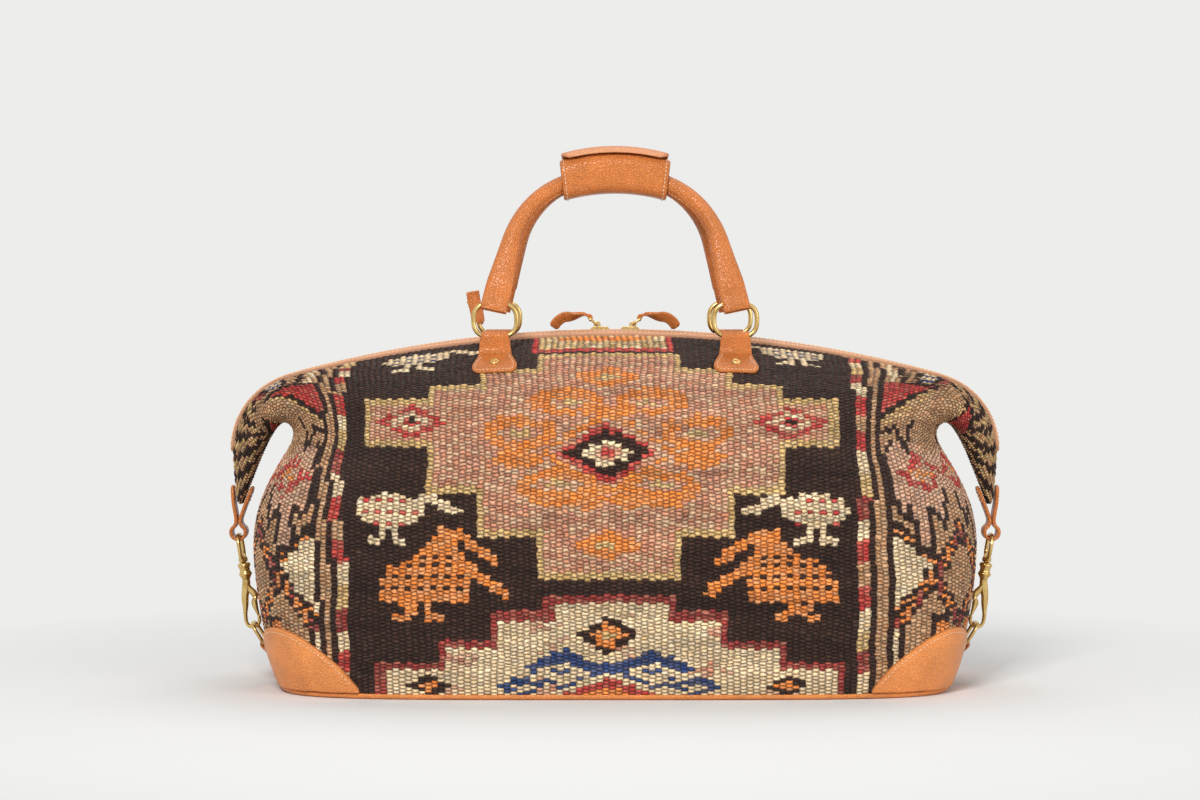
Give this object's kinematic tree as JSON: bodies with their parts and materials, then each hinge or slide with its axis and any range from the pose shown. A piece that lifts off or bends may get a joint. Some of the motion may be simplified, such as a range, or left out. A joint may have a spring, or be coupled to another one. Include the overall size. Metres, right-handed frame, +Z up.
{
  "type": "duffle bag",
  "caption": "Soft travel duffle of knotted patterned carpet with leather trim, ears clipped down at the ends, rolled handles in a wrap, and a brass zip.",
  "frame": {"origin": "middle of the flat base on the floor", "axes": "+X along the length to the right as seen from the front, +Y to the back, +Z up"},
  "size_m": [0.5672, 0.2338, 0.3941],
  "materials": {
    "carpet": "knotted wool pile in a traditional pattern",
    "leather": "pebbled tan leather",
    "brass": "polished",
    "tape": "woven tape",
    "board": "plain board"
  },
  "bodies": {
    "bag": {"back_chape_left": "leather", "back_chape_right": "leather", "back_corner_patch_left": "leather", "back_corner_patch_right": "leather", "back_panel": "carpet", "base_board": "board", "base_panel": "leather", "chape_rivets": "brass", "ear_strap_left": "leather", "ear_strap_right": "leather", "front_chape_left": "leather", "front_chape_right": "leather", "front_corner_patch_left": "leather", "front_corner_patch_right": "leather", "front_panel": "carpet", "hook_eye_left": "brass", "hook_eye_right": "brass", "side_ring_left": "brass", "side_ring_right": "brass", "side_tab_left": "leather", "side_tab_right": "leather", "zip_chain": "brass", "zip_tape": "tape", "zip_trim_back": "leather", "zip_trim_front": "leather"},
    "front_rings": {"front_ring_left": "brass", "front_ring_right": "brass"},
    "back_rings": {"back_ring_left": "brass", "back_ring_right": "brass", "hang_loop": "leather"},
    "handles": {"handle_front": "leather", "handle_back": "leather", "handle_wrap": "leather"},
    "slider_left": {"zip_slider_left": "brass"},
    "pull_left": {"pull_link_left": "brass", "pull_strap_left": "leather"},
    "hook_left": {"hook_body_left": "brass"},
    "gate_left": {"hook_gate_left": "brass"},
    "slider_right": {"zip_slider_right": "brass"},
    "pull_right": {"pull_link_right": "brass", "pull_strap_right": "leather"},
    "hook_right": {"hook_body_right": "brass"},
    "gate_right": {"hook_gate_right": "brass"}
  },
  "joints": [
    {"name": "front_ring_swing", "type": "hinge", "parent": "bag", "child": "front_rings", "pos_m": [0, -0.05, 0.2555], "axis": [1, 0, 0], "range_deg": [-25, 25]},
    {"name": "back_ring_swing", "type": "hinge", "parent": "bag", "child": "back_rings", "pos_m": [0, 0.05, 0.2555], "axis": [1, 0, 0], "range_deg": [-25, 25]},
    {"name": "handle_level", "type": "hinge", "parent": "front_rings", "child": "handles", "pos_m": [0, -0.05, 0.28], "axis": [1, 0, 0], "range_deg": [-25, 25]},
    {"name": "slider_travel_left", "type": "hinge", "parent": "bag", "child": "slider_left", "pos_m": [0, 0, -0.621], "axis": [0, -1, 0], "range_deg": [0, 13.5]},
    {"name": "pull_lift_left", "type": "hinge", "parent": "slider_left", "child": "pull_left", "pos_m": [-0.01306, 0, 0.26371], "axis": [0, 1, 0], "range_deg": [0, 90]},
    {"name": "hook_swivel_left", "type": "hinge", "parent": "bag", "child": "hook_left", "pos_m": [-0.27696, 0, 0.109], "axis": [-0.1564, 0, 0.9877], "range_deg": [-25, 25]},
    {"name": "gate_open_left", "type": "hinge", "parent": "hook_left", "child": "gate_left", "pos_m": [-0.26508, 0, 0.06208], "axis": [0, 1, 0], "range_deg": [0, 20], "stiffness_Nm_per_rad": 0.03, "springref_deg": -5.73},
    {"name": "slider_travel_right", "type": "hinge", "parent": "bag", "child": "slider_right", "pos_m": [0, 0, -0.621], "axis": [0, 1, 0], "range_deg": [0, 13.5]},
    {"name": "pull_lift_right", "type": "hinge", "parent": "slider_right", "child": "pull_right", "pos_m": [0.01306, 0, 0.26371], "axis": [0, -1, 0], "range_deg": [0, 90]},
    {"name": "hook_swivel_right", "type": "hinge", "parent": "bag", "child": "hook_right", "pos_m": [0.27696, 0, 0.109], "axis": [0.1564, 0, 0.9877], "range_deg": [-25, 25]},
    {"name": "gate_open_right", "type": "hinge", "parent": "hook_right", "child": "gate_right", "pos_m": [0.26508, 0, 0.06208], "axis": [0, -1, 0], "range_deg": [0, 20], "stiffness_Nm_per_rad": 0.03, "springref_deg": -5.73}
  ],
  "couplings": [
    {"joint": "back_ring_swing", "follows": "front_ring_swing", "ratio": 1},
    {"joint": "handle_level", "follows": "front_ring_swing", "ratio": -1}
  ]
}
